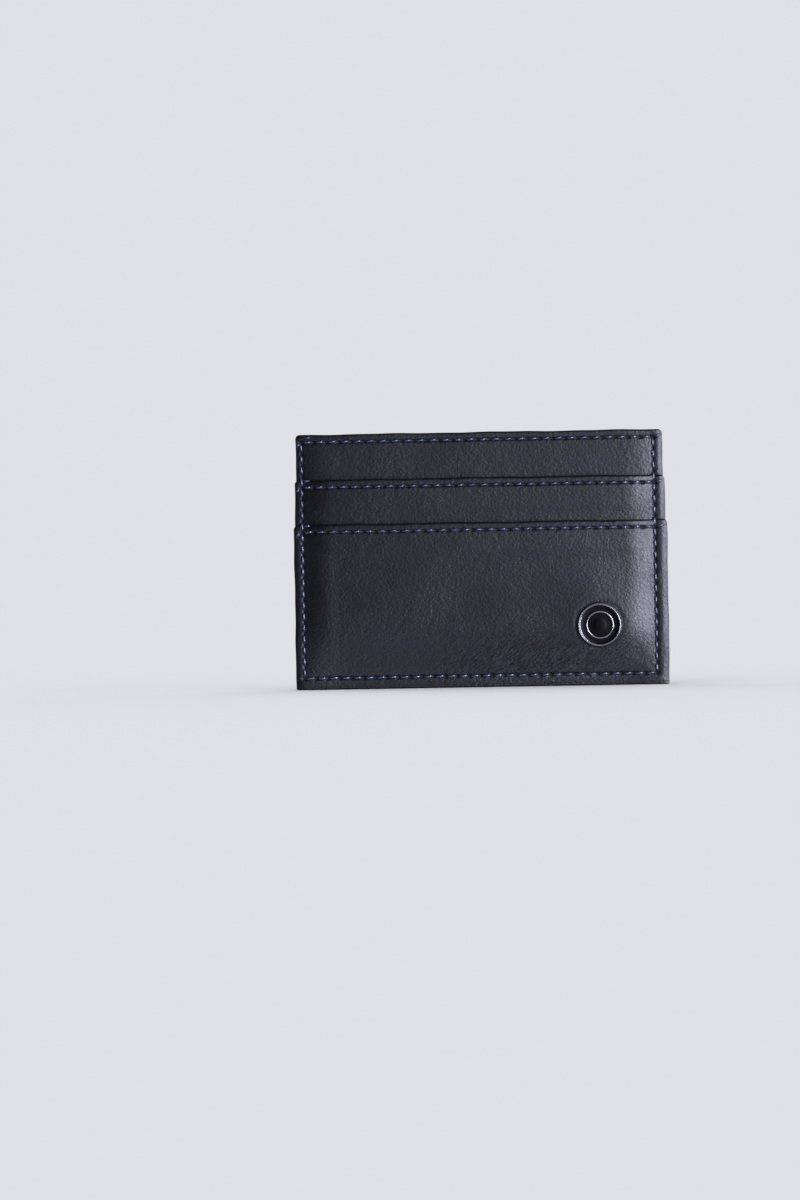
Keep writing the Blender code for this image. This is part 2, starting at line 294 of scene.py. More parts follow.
ROLL_WIDE = 0.65  # the outer face rolls over the fold in this much
SIDE_ROLL_WIDE = 1.6  # and over the sides' fold in this much
RIM_WIDE = 2.7  # and the sides are pressed thinner from here out
RIM_PRESSED = 0.42
ROLL_BACK = 0.25
FOLD_BACK = 0.20

# Soft creases across the pocket: from, to, depth
CREASES = [
    ((-14.0, 3.5), (-2.0, 17.0), 0.035),
    ((-21.0, 6.0), (-9.0, 15.5), 0.025),
    ((4.0, 4.0), (11.0, 13.0), 0.022),
    ((16.0, 30.0), (24.0, 37.0), 0.018),
]


def crease(x, z, start, end):
    """1 on a short line, fading to nothing beside it and at its ends."""
    ax, az = start
    length = math.dist(start, end)
    ux, uz = (end[0] - ax) / length, (end[1] - az) / length
    along = (x - ax) * ux + (z - az) * uz
    beside = (x - ax) * uz - (z - az) * ux + 0.5 * np.sin(along * 0.5)
    return bell(beside, 0.7) * bell(along - length / 2, length / 2)


def seam_line(panel, x, z):
    """How deep the thread's pull presses a panel along its seams and its row."""
    side = from_seam(x)
    press = 0.08 * bell(side, 0.55) + 0.20 * bell(side, np.where(side > 0, 2.1, 1.3))
    press = press * ramp(z, SEAM_Z - 1.2, SEAM_Z + 0.6, 0.3) * ramp(-z, -SEAM_TOP - 1.2, -SEAM_TOP, 0.3)
    press = press + 0.09 * bell(z - ROW_OF[panel.name], 0.55)
    if panel.name == "pocket":
        foot = z - SEAM_Z
        low = 0.10 * bell(foot, 0.55) + 0.12 * bell(foot, np.where(foot > 0, 2.0, 0.9))
        low = low * ramp(side, -1.2, 0.0, 0.3)
        press = np.maximum(press, low)
        press = press + 0.10 * bell(z - 0.75, 0.13)
    return press


def pressed(panel, x, z):
    """A panel's outer face with its grooves, waves and the dip beside the next mouth."""
    down = seam_line(panel, x, z)
    mouth = NEXT_MOUTH[panel.name]
    if mouth:
        down = down + 0.01 * np.exp(-np.abs(z - mouth) / 0.25)
    else:
        if BUILDING["half"] == "front":
            beyond = np.hypot(x - BADGE_CENTRE_X, z - BADGE_CENTRE_Z) - BADGE_RADIUS
            down = down + 0.14 * bell(beyond, 0.75)
        for start, end, deep in CREASES:
            down = down + deep * crease(x, z, start, end)
    return STACK[panel.name][1](x, z) - down


def hole_mask(panel, x, z):
    """1 in the middle of each needle hole."""
    deepest = np.zeros_like(x)
    for hole_x, hole_z, level in holes(panel):
        dx, dz = x - hole_x, z - hole_z
        wide, tall, deep = (0.80, 0.34, 1.0) if level else (0.27, 0.55, 0.25)
        if not level and hole_x > 0:
            deep = 0.6
        mask = deep * np.exp(-((dx / wide) ** 2) - (dz / tall) ** 2)
        deepest = np.maximum(deepest, mask)
    return deepest


def faces_of(panel, x, z):
    """(inner, outer, hole, edge) at each place: two depths and two masks; the masks also set the painted
    shade in the needle holes and along the folded edges.
    """
    inner, plain = STACK[panel.name][0](x, z), STACK[panel.name][1](x, z)
    hole = hole_mask(panel, x, z)
    outer = pressed(panel, x, z) - 0.42 * hole
    inset = panel.inset(x, z)
    over = np.clip(1 - inset / ROLL_WIDE, 0, 1)
    over = np.maximum(over, np.clip(1 - (panel.half - np.abs(x)) / SIDE_ROLL_WIDE, 0, 1))
    beside = np.clip(1 - (panel.half - np.abs(x)) / RIM_WIDE, 0, 1)
    outer = outer - RIM_PRESSED * beside**2
    outer = outer - (outer - inner - FOLD_BACK) * (1 - np.sqrt(1 - over**2))
    under = np.clip(1 - inset / ROLL_BACK, 0, 1)
    inner = inner + FOLD_BACK * (1 - np.sqrt(1 - under**2))
    outer = np.maximum(outer, np.where(inset < 1e-6, inner, inner + 0.12))
    outer = np.where(inset < 1e-6, inner, outer)
    return inner, outer, hole, np.exp(-inset / 0.7)


# Meshes


def mesh_object(name, places, faces, material, side):
    """Makes an object from places in millimetres, its faces turned outwards."""
    places = np.asarray(places, float) * MM
    if side < 0:
        faces = [face[::-1] for face in faces]
    mesh = bpy.data.meshes.new(name)
    mesh.from_pydata(places.tolist(), [], faces)
    mesh.shade_smooth()
    mesh.materials.append(material)
    thing = bpy.data.objects.new(name, mesh)
    bpy.context.scene.collection.objects.link(thing)
    return thing


def lines(coarse, fine, low, high):
    """The grid lines from low to high, and which of them the hidden face uses."""
    kept = []
    for value in [low, high, *sorted(coarse)]:
        if low <= value <= high and all(abs(value - k) > 0.04 for k in kept):
            kept.append(value)
    rough = set(kept)
    for value in sorted(fine):
        if low < value < high and all(abs(value - k) > 0.06 for k in kept):
            kept.append(value)
    kept = sorted(kept)
    return np.array(kept), [i for i, value in enumerate(kept) if value in rough]


EDGE_STEPS = (0.015, 0.05, 0.11, 0.19, 0.29, 0.41, 0.56, 0.74, 0.94, 1.15, 1.5, 1.8, 2.1)
HOLE_STEPS = (-0.70, -0.32, -0.13, 0.0, 0.13, 0.32, 0.70)
SHAPE_STEPS = tuple(np.arange(1.6, 12.1, 0.75)) + (13.5, 15.5, 18.0)


def edge_lines(edge, inwards):
    coarse = [edge + inwards * step for step in (0.05, 0.19, 0.41, 1.15)]
    fine = [edge + inwards * step for step in EDGE_STEPS]
    return coarse, fine


def panel_grid(panel, shown_from):
    """Grid lines for a panel: close where it shows, folds or is sewn."""
    coarse_x, fine_x = [], []
    for sign in (-1, 1):
        coarse, fine = edge_lines(sign * panel.half, -sign)
        coarse_x += coarse + [sign * (HALF - step) for step in SHAPE_STEPS]
        fine_x += fine
    coarse_x += list(np.arange(-30, 31, 6.0))
    hole_x = list(ROW_X[panel.name]) + (list(FOOT_X) if panel.name == "pocket" else [])
    fine_x += [x + step for x in hole_x for step in HOLE_STEPS]
    fine_x += list(np.arange(-HALF + 1.4, -HALF + 9, 0.3))
    fine_x += list(np.arange(HALF - 9, HALF - 1.4, 0.3))
    coarse_z, fine_z = edge_lines(panel.top, -1)
    coarse, fine = edge_lines(panel.foot, 1)
    coarse_z += coarse + list(np.arange(2.0, panel.top - 2, 2.0))
    coarse_z += [panel.top - step for step in (2, 3, 6, 7.5, 8.5, 9.5, 10.5)]
    if shown_from < 1:
        fine_z += fine + [0.6, 0.68, 0.75, 0.82, 0.9]
        fine_z += list(np.arange(1.2, 12, 0.35))
    fine_z += [z for z in np.arange(shown_from, panel.top, 0.6)]
    fine_z += [shown_from + step for step in (0.6, 1.0, 1.2, 1.4, 1.7, 2.0, 2.4)]
    fine_z += [ROW_OF[panel.name] + step for step in np.arange(-1.4, 1.45, 0.14)]
    fine_z += [z + s for z in COLUMN_Z if z > shown_from for s in HOLE_STEPS]
    return (
        lines(coarse_x, fine_x, -panel.half, panel.half),
        lines(coarse_z, fine_z, panel.foot, panel.top),
    )


def cell(ix, iz, i0, i1, j0, j1, count_x, count_z):
    """The corners of a rough cell, with every fine point where it meets the outline."""
    ring = []
    ring += [(i, j0) for i in (range(i0, i1) if j0 == 0 else [i0])]
    ring += [(i1, j) for j in (range(j0, j1) if i1 == count_x - 1 else [j0])]
    ring += [(i, j1) for i in (range(i1, i0, -1) if j1 == count_z - 1 else [i1])]
    ring += [(i0, j) for j in (range(j1, j0, -1) if i0 == 0 else [j1])]
    return ring


def wavering(x, z, panel):
    """Hand-turned edges aren't quite straight: (dx, dz) at a place."""
    near_top = np.clip(1 - (panel.top - z) / 5.0, 0, 1)
    near_side = np.clip(1 - (panel.half - np.abs(x)) / 5.0, 0, 1)
    seed = {"body": 0.3, "middle": 1.7, "pocket": 3.1}[panel.name]
    dz = 0.07 * np.sin(0.21 * x + seed) + 0.04 * np.sin(0.53 * x + 2 * seed)
    dx = 0.06 * np.sin(0.25 * z + seed + np.sign(x)) + 0.04 * np.sin(0.61 * z + seed)
    return dx * near_side, (dz - 0.08) * near_top


def leather_panel(half_name, panel, shown_from, material):
    """One turned-edge panel: a fine outer face and a rougher hidden face."""
    side = SIDES[half_name]
    (grid_x, rough_x), (grid_z, rough_z) = panel_grid(panel, shown_from)
    nx, nz = len(grid_x), len(grid_z)
    x, z = np.meshgrid(grid_x, grid_z)
    slide = np.clip((6.0 - (panel.half - np.abs(x))) / 4.8, 0, 1)
    x = x - np.sign(x) * panel.drawn_in(z) * slide
    inner, outer, hole, edge = faces_of(panel, x, z)
    dx, dz = wavering(x, z, panel)
    index = np.arange(nx * nz).reshape(nz, nx)
    outside = np.stack([x + dx, side * outer, z + dz], -1).reshape(-1, 3)
    a, b = index[:-1, :-1].ravel(), index[:-1, 1:].ravel()
    c, d = index[1:, 1:].ravel(), index[1:, :-1].ravel()
    faces = np.stack([a, d, c, b], -1).tolist()

    places = list(outside)
    hidden = {}

    def under(i, j):
        if i in (0, nx - 1) or j in (0, nz - 1):
            return int(index[j, i])
        if (i, j) not in hidden:
            hidden[i, j] = len(places)
            places.append((x[j, i] + dx[j, i], side * inner[j, i], z[j, i] + dz[j, i]))
        return hidden[i, j]

    for i0, i1 in zip(rough_x, rough_x[1:]):
        for j0, j1 in zip(rough_z, rough_z[1:]):
            ring = cell(rough_x, rough_z, i0, i1, j0, j1, nx, nz)
            faces.append([under(i, j) for i, j in ring])
    name = f"{half_name}_{panel.name}_leather"
    thing = mesh_object(name, places, faces, material, side)
    extra = np.zeros(len(places) - nx * nz)
    for label, values in (("hole", hole), ("edge", edge)):
        attribute = thing.data.attributes.new(label, "FLOAT", "POINT")
        attribute.data.foreach_set("value", np.concatenate([values.ravel(), extra]))
    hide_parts(f"{half_name}_{panel.name}_panel")
    return thing


SLOT_FOLD = 8.0  # how far the upper slot's cloth is folded up at its foot
LAYER_STEPS = (0, 0.6, 1.5, 2.4, 3.2, 4, 4.8, 5.6, 6.4, 7.2, 8, 9, 10, 12, 14)


def layer_columns(half):
    """Where a layer's grid lines stand: close together near its two sides."""
    steps = [half - step for step in LAYER_STEPS]
    places = {sign * step for step in steps for sign in (-1, 1)} | set(range(-30, 31, 6))
    return np.array(sorted(places), float)


def thin_layer(name, half_name, material, half, span, inner, thick, node):
    """A flat layer of cloth or board that follows the stack."""
    side = SIDES[half_name]
    grid_x = layer_columns(half)
    low, high = span
    near_foot = [low + s for s in (0.7, 1.6, 2.6, 3.6, 4.6, 5.6, 6.6, 7.6, 9, 11)]
    near_top = [high - s for s in (0, 0.4, 0.9, 1.6, 2.6, 4, 5.5, 7, 8, 9, 10)]
    grid_z = sorted({low, *near_foot, *near_top} | set(np.arange(low + 13, high - 11, 3.0)))
    x, z = np.meshgrid(grid_x, np.array(grid_z, float))
    nx, nz = len(grid_x), len(grid_z)
    near = inner(x, z)
    places = [np.stack([x, side * depth, z], -1).reshape(-1, 3) for depth in (near, near + thick)]
    index = np.arange(nx * nz).reshape(nz, nx)
    a, b = index[:-1, :-1].ravel(), index[:-1, 1:].ravel()
    c, d = index[1:, 1:].ravel(), index[1:, :-1].ravel()
    front = np.stack([a, d, c, b], -1) + nx * nz
    back = np.stack([a, b, c, d], -1)
    rim = np.concatenate([index[0, :-1], index[:-1, -1], index[-1, :0:-1], index[:0:-1, 0]])
    after = np.roll(rim, -1)
    wall = np.stack([rim, rim + nx * nz, after + nx * nz, after], -1)
    faces = np.concatenate([front, back, wall]).tolist()
    thing = mesh_object(name, np.concatenate(places), faces, material, side)
    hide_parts(node)
    return thing


def folded_layer(half_name, material):
    """The upper slot's lining: one strip, folded up at its foot."""
    side = SIDES[half_name]
    node = f"{half_name}_upper_slot_lining"
    foot, top, half = lowest(node).z, highest(node).z, highest(node).x
    rear_top = foot + SLOT_FOLD
    rear_z = list(np.arange(foot, rear_top + 0.1, 2.0))
    front_z = sorted({*np.arange(foot, top - 3, 3.0), top - 3, top - 2, top - 1, top - 0.4, top})
    grid_x = layer_columns(half)
    section = [(z, lambda x, z: body_outer(x, z) + GLUE, 0.0) for z in reversed(rear_z)]
    section += [(z, lambda x, z: middle_inner(x, z) - GLUE, 0.0) for z in front_z]
    behind = lambda x, z: middle_inner(x, z) - GLUE - LINING
    section += [(z, behind, 0.0) for z in reversed(front_z[1:])]
    section += [(foot, behind, LINING)]
    section += [(foot, lambda x, z: body_outer(x, z) + GLUE + LINING, LINING)]
    section += [(z, lambda x, z: body_outer(x, z) + GLUE + LINING, 0.0) for z in rear_z[1:]]
    count = len(section)
    places = []
    for z, depth, lift in section:
        level = np.full_like(grid_x, z, float)
        places.append(np.stack([grid_x, side * depth(grid_x, level), level + lift], -1))
    places = np.stack(places, 1).reshape(-1, 3)
    faces = []
    for i in range(len(grid_x) - 1):
        for k in range(count):
            n = (k + 1) % count
            faces.append([i * count + k, i * count + n, (i + 1) * count + n, (i + 1) * count + k])
    faces.append(list(range(count))[::-1])
    faces.append([(len(grid_x) - 1) * count + k for k in range(count)])
    thing = mesh_object(f"{half_name}_upper_slot_cloth", places, faces, material, side)
    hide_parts(node)
    return thing


# Node trees


class Wire:
    """One output of a node tree, so that sums and products can be written plainly."""

    def __init__(self, tree, socket):
        self.tree, self.socket = tree, socket

    def math(self, operation, *others):
        values = dict(enumerate((self, *others)))
        return self.tree.node("ShaderNodeMath", {"operation": operation}, values)

    def __add__(self, other):
        return self.math("ADD", other)

    def __mul__(self, other):
        return self.math("MULTIPLY", other)

    def __sub__(self, other):
        return self.math("SUBTRACT", other)

    def __rsub__(self, other):
        return (self * -1) + other

    __radd__ = __add__
    __rmul__ = __mul__


class Tree:
    """A node tree that is built one call to a node."""

    def __init__(self, nodes):
        self.tree = nodes

    def put(self, socket, value):
        if isinstance(value, Wire):
            self.tree.links.new(value.socket, socket)
        else:
            socket.default_value = value

    def node(self, kind, settings=(), sockets=(), out=0):
        made = self.tree.nodes.new(kind)
        for name, value in dict(settings).items():
            setattr(made, name, value)
        for key, value in dict(sockets).items():
            self.put(made.inputs[key], value)
        return Wire(self, made.outputs[out])

    def vector(self, operation, *values, out=0):
        return self.node("ShaderNodeVectorMath", {"operation": operation}, dict(enumerate(values)), out)

    def mix(self, share, start, end):
        sockets = {0: share, 6: start, 7: end}
        return self.node("ShaderNodeMix", {"data_type": "RGBA"}, sockets, 2)

    def noise(self, place, scale, detail=2.0, rough=0.5):
        sockets = {"Vector": place, "Scale": scale, "Detail": detail, "Roughness": rough}
        return self.node("ShaderNodeTexNoise", (), sockets)

    def spread(self, value, low, high):
        """value's range from low to high, spread over 0 to 1 and held inside it."""
        sockets = {"Value": value, "From Min": low, "From Max": high}
        return self.node("ShaderNodeMapRange", {"clamp": True}, sockets)

    def attribute(self, name):
        return self.node("ShaderNodeAttribute", {"attribute_name": name}, out="Fac")


def material(name, **constants):
    """A new material: its tree, its surface node, itself and object coordinates."""
    made = bpy.data.materials.new(name)
    made.use_nodes = True
    tree = Tree(made.node_tree)
    surface = made.node_tree.nodes["Principled BSDF"]
    for key, value in constants.items():
        surface.inputs[key.replace("_", " ").title()].default_value = value
    return tree, surface, made, tree.node("ShaderNodeTexCoord", out="Object")


def bump(tree, surface, height, distance, strength=1.0):
    sockets = {"Height": height, "Distance": distance, "Strength": strength}
    tree.put(surface.inputs["Normal"], tree.node("ShaderNodeBump", (), sockets))


def rgb(r, g, b):
    return (r, g, b, 1.0)


def nappa():
    tree, surface, made, place = material("navy_nappa")
    drift = tree.node("ShaderNodeTexNoise", (), {"Vector": place, "Scale": 420.0}, "Color")
    drift = tree.vector("SUBTRACT", drift, (0.5, 0.5, 0.5))
    moved = tree.vector("MULTIPLY_ADD", drift, (0.0009, 0.0009, 0.0009), place)
    sockets = {"Vector": moved, "Scale": 1350.0, "Smoothness": 0.4}
    pebble = tree.node("ShaderNodeTexVoronoi", {"feature": "SMOOTH_F1"}, sockets, "Distance")
    pore = tree.noise(place, 3000.0, 2.0)
    fold = tree.noise(tree.vector("MULTIPLY", moved, (1.0, 1.0, 1.7)), 330.0, 3.0, 0.6)
    valley = (fold - 0.5).math("ABSOLUTE")
    wrinkle = tree.spread(valley, 0.0, 0.10)
    patch = tree.noise(place, 62.0, 3.0, 0.55)
    worn = tree.spread(patch, 0.42, 0.66)
    slanted = tree.node(
        "ShaderNodeMapping",
        {"vector_type": "TEXTURE"},
        {0: place, "Rotation": (0.0, math.radians(-38), 0.0), "Scale": (5.0, 1.0, 0.8)},
    )
    line = (tree.noise(slanted, 900.0, 2.0, 0.55) - 0.5).math("ABSOLUTE")
    line = tree.spread(line, 0.0, 0.07)
    spot = tree.vector("SUBTRACT", place, (0.012, 0.0, 0.007))
    spot = tree.vector("LENGTH", tree.vector("MULTIPLY", spot, (0.45, 0.0, 1.5)), out="Value")
    used = 1 - tree.spread(spot, 0.004, 0.020)
    height = pebble * -0.85 + pore * 0.45 + wrinkle * (worn * 0.45 + 0.20) + patch * 1.8
    height = height + line * (used * 1.2 + worn * 0.3)
    bump(tree, surface, height, 0.000052, 1.0)
    hole, edge = tree.attribute("hole"), tree.attribute("edge")
    dark, light = rgb(0.0025, 0.0036, 0.0080), rgb(0.0040, 0.0054, 0.0112)
    colour = tree.mix(worn * 0.6 + pebble * -0.3 + 0.4, dark, light)
    # Painted shade: the leather is made darker along every folded edge, for the dark line where the
    # rolled folds face away from the lamps.
    colour = tree.mix(edge * 0.35, colour, rgb(0.0024, 0.0028, 0.0046))
    # Painted shade: near-black in each needle hole's shallow dimple, where shade falls in a real hole.
    colour = tree.mix(tree.spread(hole, 0.15, 0.8), colour, rgb(0.0008, 0.0010, 0.0016))
    tree.put(surface.inputs["Base Color"], colour)
    rough = patch * 0.16 + pebble * 0.10 + 0.27 + hole * 0.3
    tree.put(surface.inputs["Roughness"], rough)
    return made


def woven(name, dark, light, per_metre, rough):
    """A plain weave, over and under in squares."""
    tree, surface, made, place = material(name, roughness=rough)
    parts = tree.node("ShaderNodeSeparateXYZ", (), {0: place})
    across, up = parts, Wire(tree, parts.socket.node.outputs[2])
    turn = math.pi * per_metre
    warp = (across * turn).math("SINE").math("ABSOLUTE")
    weft = (up * turn).math("SINE").math("ABSOLUTE")
    over = ((across * (turn / 2)).math("SINE") * (up * (turn / 2)).math("SINE")).math("SIGN")
    over = over * 0.5 + 0.5
    height = warp * over + weft * (1 - over)
    tree.put(surface.inputs["Base Color"], tree.mix(height, dark, light))
    bump(tree, surface, height, 0.00005)
    return made


def board_material():
    tree, surface, made, place = material("grey_fibre_board", roughness=0.9)
    fibre = tree.noise(tree.vector("MULTIPLY", place, (1.0, 1.0, 4.0)), 900.0, 4.0, 0.65)
    colour = tree.mix(fibre, rgb(0.27, 0.245, 0.20), rgb(0.37, 0.335, 0.28))
    tree.put(surface.inputs["Base Color"], colour)
    bump(tree, surface, fibre, 0.00004)
    return made


def thread_material():
    tree, surface, made, place = material("blue_polyester_thread", roughness=0.30)
    strand = tree.noise(tree.vector("MULTIPLY", place, (1.0, 1.0, 1.0)), 9000.0, 2.0)
    colour = tree.mix(strand, rgb(0.014, 0.029, 0.098), rgb(0.038, 0.070, 0.205))
    tree.put(surface.inputs["Base Color"], colour)
    surface.inputs["Specular IOR Level"].default_value = 1.0
    surface.inputs["IOR"].default_value = 1.7
    bump(tree, surface, strand, 0.00001)
    return made


def nickel():
    tree, surface, made, place = material("polished_dark_nickel", metallic=1.0)
    smudge = tree.noise(place, 260.0, 3.0, 0.6)
    fine = tree.noise(place, 4200.0, 2.0)
    tone = tree.mix(smudge, rgb(0.34, 0.33, 0.335), rgb(0.46, 0.45, 0.455))
    shade = tree.attribute("recess")
    tree.put(surface.inputs["Base Color"], tree.mix(shade, tone, rgb(0.011, 0.010, 0.011)))
    tree.put(surface.inputs["Roughness"], smudge * 0.10 + fine * 0.06 + shade * 0.18 + 0.12)
    bump(tree, surface, smudge * 0.7 + fine * 0.3, 0.00001)
    return made


def steel():
    tree, surface, made, place = material("plain_steel", metallic=1.0)
    brushed = tree.noise(tree.vector("MULTIPLY", place, (1.0, 1.0, 30.0)), 400.0, 3.0)
    tree.put(surface.inputs["Base Color"], tree.mix(brushed, rgb(0.48, 0.48, 0.49), rgb(0.6, 0.6, 0.61)))
    tree.put(surface.inputs["Roughness"], brushed * 0.2 + 0.25)
    return made


LEATHER_LOOK = nappa()
LINING_LOOK = woven("navy_lining", rgb(0.006, 0.007, 0.012), rgb(0.018, 0.021, 0.034), 2600, 0.75)
BOARD_LOOK = board_material()
THREAD_LOOK = thread_material()
BADGE_LOOK = nickel()
WASHER_LOOK = steel()


# Stitches

INPUTS = {
    "Thread width": ("NodeSocketFloat", 0.62 * MM),
    "Arch height": ("NodeSocketFloat", 0.34 * MM),
    "Usual length": ("NodeSocketFloat", 2.4 * MM),
    "Turns of twist": ("NodeSocketFloat", 1.6),
    "Ply depth": ("NodeSocketFloat", 0.08),
    "Slant": ("NodeSocketFloat", math.radians(7)),
    "Unevenness": ("NodeSocketFloat", 0.06),
    "Seed": ("NodeSocketInt", 7),
    "Thread": ("NodeSocketMaterial", THREAD_LOOK),
}
STITCH_RINGS = 9
STITCH_SIDES = 9


def stitch_group():
    """Sets an arched length of three-ply thread on every point, along and facing as told."""
    group = bpy.data.node_groups.new("thread_stitches", "GeometryNodeTree")
    face = group.interface
    face.new_socket("Geometry", in_out="INPUT", socket_type="NodeSocketGeometry")
    for name, (kind, value) in INPUTS.items():
        socket = face.new_socket(name, in_out="INPUT", socket_type=kind)
        socket.default_value = value
    face.new_socket("Geometry", in_out="OUTPUT", socket_type="NodeSocketGeometry")
    tree = Tree(group)
    entry = group.nodes.new("NodeGroupInput")
    given = {socket.name: Wire(tree, socket) for socket in entry.outputs if socket.name}

    length = given["Usual length"]
    start = tree.node("ShaderNodeCombineXYZ", (), {0: length * -0.5})
    end = tree.node("ShaderNodeCombineXYZ", (), {0: length * 0.5})
    line = tree.node("GeometryNodeCurvePrimitiveLine", (), {"Start": start, "End": end})
    line = tree.node("GeometryNodeResampleCurve", (), {"Curve": line, "Count": STITCH_RINGS})
    along = tree.node("GeometryNodeSplineParameter")
    swing = along * 2 - 1
    square = swing * swing
    rise = (1 - square) * given["Arch height"]
    lift = tree.node("ShaderNodeCombineXYZ", (), {2: rise})
    line = tree.node("GeometryNodeSetPosition", (), {"Geometry": line, "Offset": lift})
    thin = 1 - square * square * square * 0.45
    sockets = {"Curve": line, "Radius": thin}
    line = tree.node("GeometryNodeSetCurveRadius", (), sockets)
    sockets = {"Curve": line, "Tilt": along * given["Turns of twist"] * math.tau}
    line = tree.node("GeometryNodeSetCurveTilt", (), sockets)
    sockets = {"Resolution": STITCH_SIDES, "Radius": given["Thread width"] * 0.5}
    ring = tree.node("GeometryNodeCurvePrimitiveCircle", (), sockets)
    turn = tree.node("GeometryNodeInputIndex") * (3 * math.tau / STITCH_SIDES)
    swell = turn.math("COSINE") * given["Ply depth"] + 1
    spot = tree.node("GeometryNodeInputPosition")
    sockets = {0: spot, "Scale": swell}
    spot = tree.node("ShaderNodeVectorMath", {"operation": "SCALE"}, sockets)
    ring = tree.node("GeometryNodeSetPosition", (), {"Geometry": ring, "Position": spot})
    sockets = {"Curve": line, "Profile Curve": ring, "Fill Caps": True}
    stitch = tree.node("GeometryNodeCurveToMesh", (), sockets)
    radius_socket = stitch.socket.node.inputs.get("Scale")
    if radius_socket:
        tree.put(radius_socket, tree.node("GeometryNodeInputRadius"))

    named = {"data_type": "FLOAT_VECTOR"}
    way = tree.node("GeometryNodeInputNamedAttribute", named, {"Name": "along"})
    facing = tree.node("GeometryNodeInputNamedAttribute", named, {"Name": "facing"})
    turned = tree.node("FunctionNodeAlignRotationToVector", {"axis": "X"}, {"Vector": way})
    settings = {"axis": "Z", "pivot_axis": "X"}
    sockets = {"Rotation": turned, "Vector": facing}
    turned = tree.node("FunctionNodeAlignRotationToVector", settings, sockets)
    wobble = given["Unevenness"]
    sockets = {2: wobble * -1.0, 3: wobble, "Seed": given["Seed"]}
    chance = tree.node("FunctionNodeRandomValue", {"data_type": "FLOAT"}, sockets, 1)
    lean_by = given["Slant"] + chance
    sockets = {"Axis": (0.0, 0.0, 1.0), "Angle": lean_by}
    lean_by = tree.node("FunctionNodeAxisAngleToRotation", (), sockets)
    settings = {"rotation_space": "LOCAL"}
    sockets = {"Rotation": turned, "Rotate By": lean_by}
    turned = tree.node("FunctionNodeRotateRotation", settings, sockets)
    long = tree.vector("LENGTH", way, out="Value")
    long = long.math("DIVIDE", length) * (chance + 1)
    scale = tree.node("ShaderNodeCombineXYZ", (), {0: long, 1: 1 - chance, 2: 1 + chance})
    sockets = {
        "Points": given["Geometry"],
        "Instance": stitch,
        "Rotation": turned,
        "Scale": scale,
    }
    made = tree.node("GeometryNodeInstanceOnPoints", (), sockets)
    made = tree.node("GeometryNodeRealizeInstances", (), {"Geometry": made})
    sockets = {"Geometry": made, "Material": given["Thread"]}
    made = tree.node("GeometryNodeSetMaterial", (), sockets)
    leave = group.nodes.new("NodeGroupOutput")
    tree.put(leave.inputs[0], made)
    return group


STITCHES = stitch_group()


def outermost(z):
    """The panel that shows at height z."""
    return POCKET if z < POCKET.top else MIDDLE if z < MIDDLE.top else BODY


def seat(panel, side, x, z):
    """A needle hole's place on a panel, and the way the leather faces there."""

    def depth(x, z):
        return float(pressed(panel, np.array([x]), np.array([z]))[0])

    step = 0.25
    slope_x = (depth(x + step, z) - depth(x - step, z)) / (2 * step)
    slope_z = (depth(x, z + step) - depth(x, z - step)) / (2 * step)
    place = Vector((x, side * depth(x, z), z))
    return place, Vector((-slope_x, side, -slope_z)).normalized()


def sewn(name, half_name, seats, share, node, slant=7.0, seed=7):
    """A row of stitches between pairs of seats, as one piece that replaces a thread."""
    centres, ways, facings = [], [], []
    for (a, face_a), (b, face_b) in seats:
        facing = (face_a + face_b).normalized()
        centres.append((a + b) / 2 * MM)
        ways.append((b - a) * share * MM)
        facings.append(facing)
    mesh = bpy.data.meshes.new(name)
    mesh.from_pydata(centres, [], [])
    for label, values in (("along", ways), ("facing", facings)):
        attribute = mesh.attributes.new(label, "FLOAT_VECTOR", "POINT")
        attribute.data.foreach_set("vector", np.array(values).ravel())
    thing = bpy.data.objects.new(name, mesh)
    bpy.context.scene.collection.objects.link(thing)
    modifier = thing.modifiers.new("stitches", "NODES")
    modifier.node_group = STITCHES
    inputs = {s.name: s.identifier for s in STITCHES.interface.items_tree if s.in_out == "INPUT"}
    modifier[inputs["Slant"]] = math.radians(slant) * SIDES[half_name] * -1
    modifier[inputs["Seed"]] = seed
    graph = bpy.context.evaluated_depsgraph_get()
    mesh = bpy.data.meshes.new_from_object(thing.evaluated_get(graph))
    thing.modifiers.clear()
    thing.data = mesh
    mesh.shade_smooth()
    for label in ("along", "facing"):
        if label in mesh.attributes:
            mesh.attributes.remove(mesh.attributes[label])
    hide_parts(node)
    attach(thing, "root")
    return thing


def at_edge(panel, side, sign, z):
    """Where a row's last thread wraps the side edge, and the way it faces."""
    x = sign * panel.half
    inner, outer = (f(np.array([x]), np.array([z]))[0] for f in STACK[panel.name])
    depth = 0.5 * float(inner + outer)
    return Vector((x + sign * 0.02, side * depth, z)), Vector((sign, side * 0.6, 0)).normalized()


def sew_row(half_name, panel, label, seed):
    side, z = SIDES[half_name], ROW_OF[panel.name]
    line = [seat(panel, side, x, z) for x in ROW_X[panel.name]]
    line = [at_edge(panel, side, -1, z - 1.6), *line, at_edge(panel, side, 1, z + 0.7)]
    pairs = list(zip(line, line[1:]))
    if panel is not BODY:
        level = panel.top - 0.42
        pairs.append((seat(panel, side, -47.7, level), seat(panel, side, -45.0, level)))
    else:
        level = panel.top - 0.9
        pairs.append((seat(panel, side, -47.2, level), seat(panel, side, -44.6, level)))
    node = f"{half_name}_{label}_stitching"
    sewn(f"{half_name}_{label}_stitches", half_name, pairs, 0.54, node, 9.0, seed)


def sew_round(half_name, node, seed):
    BUILDING["half"] = half_name
    side, pairs = SIDES[half_name], []
    for x in (SEAM_LEFT, SEAM_RIGHT):
        line = [seat(outermost(z), side, x, z) for z in COLUMN_Z]
        pairs += list(zip(line, line[1:]))
    line = [seat(POCKET, side, x, SEAM_Z) for x in FOOT_X]
    pairs += list(zip(line, line[1:]))
    sewn(f"{node}_stitches", half_name, pairs, 0.70, node, 6.0, seed)


# The badge

